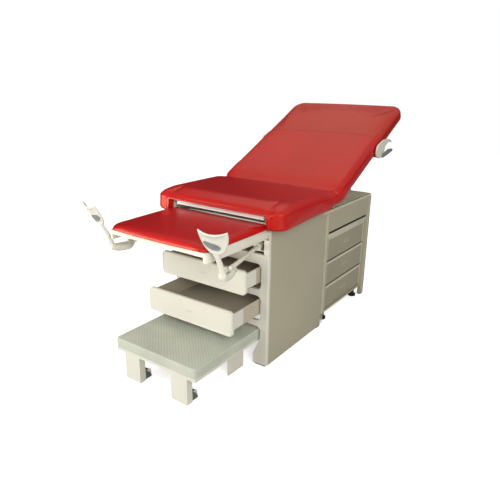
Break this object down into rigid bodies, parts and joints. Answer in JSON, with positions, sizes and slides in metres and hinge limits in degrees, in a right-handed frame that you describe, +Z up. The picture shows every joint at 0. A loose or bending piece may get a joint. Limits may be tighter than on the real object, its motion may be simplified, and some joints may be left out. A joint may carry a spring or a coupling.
{
  "type": "medical exam table",
  "caption": "Medical exam table: padded seat, reclining backrest, sliding leg rest, pull-out step and folding stirrups on a drawer cabinet.",
  "frame": {"origin": "on the floor, at the centre of the table's outline", "axes": "+Z up, the foot end towards -Y, the side drawers on +X"},
  "size_m": [0.8214, 1.8959, 1.2054],
  "materials": {
    "upholstery": "red vinyl, soft sheen",
    "putty_enamel": "satin putty enamel",
    "cream_moulding": "fine-textured moulding",
    "tread_rubber": "studded grey-green tread",
    "drawer_steel": "satin enamel",
    "frame_steel": "light putty enamel",
    "bright_steel": "zinc plated",
    "plywood": "birch ply",
    "white_moulding": "off-white moulding",
    "slate_plastic": "slate grey",
    "black_rubber": "matte black",
    "grey_roller": "grey polyurethane"
  },
  "bodies": {
    "base": {"side_panel_left": "putty_enamel", "side_panel_right": "putty_enamel", "drawer_frame": "putty_enamel", "back_panel": "putty_enamel", "partition": "drawer_steel", "floor_pan": "drawer_steel", "top_deck": "putty_enamel", "front_panel": "cream_moulding", "seat_frame": "frame_steel", "seat_rail": "white_moulding", "seat_board": "plywood", "seat_pad": "upholstery", "leg_rest_guides": "bright_steel", "inner_walls": "drawer_steel", "front_runners": "bright_steel", "step_guides": "bright_steel", "side_runners": "bright_steel", "hinge_brackets": "frame_steel", "hinge_pins": "bright_steel", "arm_tracks": "bright_steel", "rear_feet": "black_rubber", "front_glides": "black_rubber", "panel_screws": "bright_steel", "stirrup_brackets": "frame_steel"},
    "backrest": {"backrest_pad": "upholstery", "backrest_pan": "plywood", "hinge_knuckles": "frame_steel", "release_grips": "white_moulding"},
    "release_lever": {"release_shaft": "bright_steel", "release_lever_right": "slate_plastic", "release_lever_left": "slate_plastic"},
    "support_arm": {"support_arm": "frame_steel", "arm_rollers": "grey_roller"},
    "leg_rest": {"leg_rest_frame": "frame_steel", "leg_rest_runners": "bright_steel", "leg_rest_board": "plywood", "leg_rest_pad": "upholstery"},
    "step": {"step_tread": "tread_rubber", "step_body": "cream_moulding", "step_axles": "bright_steel"},
    "step_roller_right": {"step_roller_right": "grey_roller"},
    "step_roller_left": {"step_roller_left": "grey_roller"},
    "drawer_upper": {"drawer_upper_front": "cream_moulding", "drawer_upper_box": "drawer_steel"},
    "drawer_lower": {"drawer_lower_front": "cream_moulding", "drawer_lower_box": "drawer_steel"},
    "side_drawer_1": {"side_drawer_1_front": "putty_enamel", "side_drawer_1_box": "drawer_steel"},
    "side_drawer_2": {"side_drawer_2_front": "putty_enamel", "side_drawer_2_box": "drawer_steel"},
    "side_drawer_3": {"side_drawer_3_front": "putty_enamel", "side_drawer_3_box": "drawer_steel"},
    "stirrup_tube_right": {"stirrup_tube_right": "frame_steel"},
    "stirrup_bar_right": {"stirrup_bar_right": "frame_steel"},
    "stirrup_cup_right": {"stirrup_cup_right": "white_moulding"},
    "stirrup_tube_left": {"stirrup_tube_left": "frame_steel"},
    "stirrup_bar_left": {"stirrup_bar_left": "frame_steel"},
    "stirrup_cup_left": {"stirrup_cup_left": "white_moulding"}
  },
  "joints": [
    {"name": "backrest_recline", "type": "hinge", "parent": "base", "child": "backrest", "pos_m": [0, 0.1044, 0.768], "axis": [1, 0, 0], "range_deg": [-26, 44]},
    {"name": "support_arm_pivot", "type": "hinge", "parent": "backrest", "child": "support_arm", "pos_m": [0, 0.30302, 0.79144], "axis": [1, 0, 0], "range_deg": [-73, 43.5]},
    {"name": "release_lever_pivot", "type": "hinge", "parent": "backrest", "child": "release_lever", "pos_m": [0, 0.58328, 0.93815], "axis": [1, 0, 0], "range_deg": [0, 12], "stiffness_Nm_per_rad": 6, "springref_deg": -14.32},
    {"name": "leg_rest_slide", "type": "slide", "parent": "base", "child": "leg_rest", "axis": [0, 1, 0], "range_m": [0, 0.4]},
    {"name": "step_slide", "type": "slide", "parent": "base", "child": "step", "axis": [0, 1, 0], "range_m": [0, 0.45]},
    {"name": "step_roller_right_spin", "type": "hinge", "parent": "step", "child": "step_roller_right", "pos_m": [0.1435, -0.8446, 0.022], "axis": [1, 0, 0], "continuous": true},
    {"name": "step_roller_left_spin", "type": "hinge", "parent": "step", "child": "step_roller_left", "pos_m": [-0.1435, -0.8446, 0.022], "axis": [1, 0, 0], "continuous": true},
    {"name": "drawer_upper_slide", "type": "slide", "parent": "base", "child": "drawer_upper", "axis": [0, -1, 0], "range_m": [-0.117, 0.25]},
    {"name": "drawer_lower_slide", "type": "slide", "parent": "base", "child": "drawer_lower", "axis": [0, -1, 0], "range_m": [-0.214, 0.15]},
    {"name": "side_drawer_1_slide", "type": "slide", "parent": "base", "child": "side_drawer_1", "axis": [1, 0, 0], "range_m": [0, 0.3]},
    {"name": "side_drawer_2_slide", "type": "slide", "parent": "base", "child": "side_drawer_2", "axis": [1, 0, 0], "range_m": [0, 0.3]},
    {"name": "side_drawer_3_slide", "type": "slide", "parent": "base", "child": "side_drawer_3", "axis": [1, 0, 0], "range_m": [0, 0.3]},
    {"name": "stirrup_right_swing", "type": "hinge", "parent": "base", "child": "stirrup_tube_right", "pos_m": [0.216, -0.4006, 0.61], "axis": [0, 0, 1], "range_deg": [0, 16]},
    {"name": "stirrup_right_slide", "type": "slide", "parent": "stirrup_tube_right", "child": "stirrup_bar_right", "axis": [0.2419, -0.9703, 0], "range_m": [-0.02, 0.15]},
    {"name": "stirrup_right_fold", "type": "hinge", "parent": "stirrup_bar_right", "child": "stirrup_cup_right", "pos_m": [0.29898, -0.73341, 0.598], "axis": [0.9703, 0.2419, 0], "range_deg": [0, 45]},
    {"name": "stirrup_left_swing", "type": "hinge", "parent": "base", "child": "stirrup_tube_left", "pos_m": [-0.216, -0.4006, 0.61], "axis": [0, 0, -1], "range_deg": [0, 16]},
    {"name": "stirrup_left_slide", "type": "slide", "parent": "stirrup_tube_left", "child": "stirrup_bar_left", "axis": [-0.2419, -0.9703, 0], "range_m": [-0.02, 0.15]},
    {"name": "stirrup_left_fold", "type": "hinge", "parent": "stirrup_bar_left", "child": "stirrup_cup_left", "pos_m": [-0.29898, -0.73341, 0.598], "axis": [0.9703, -0.2419, 0], "range_deg": [0, 45]}
  ],
  "couplings": [
    {"joint": "support_arm_pivot", "follows": "backrest_recline", "ratio": -1.6403}
  ]
}
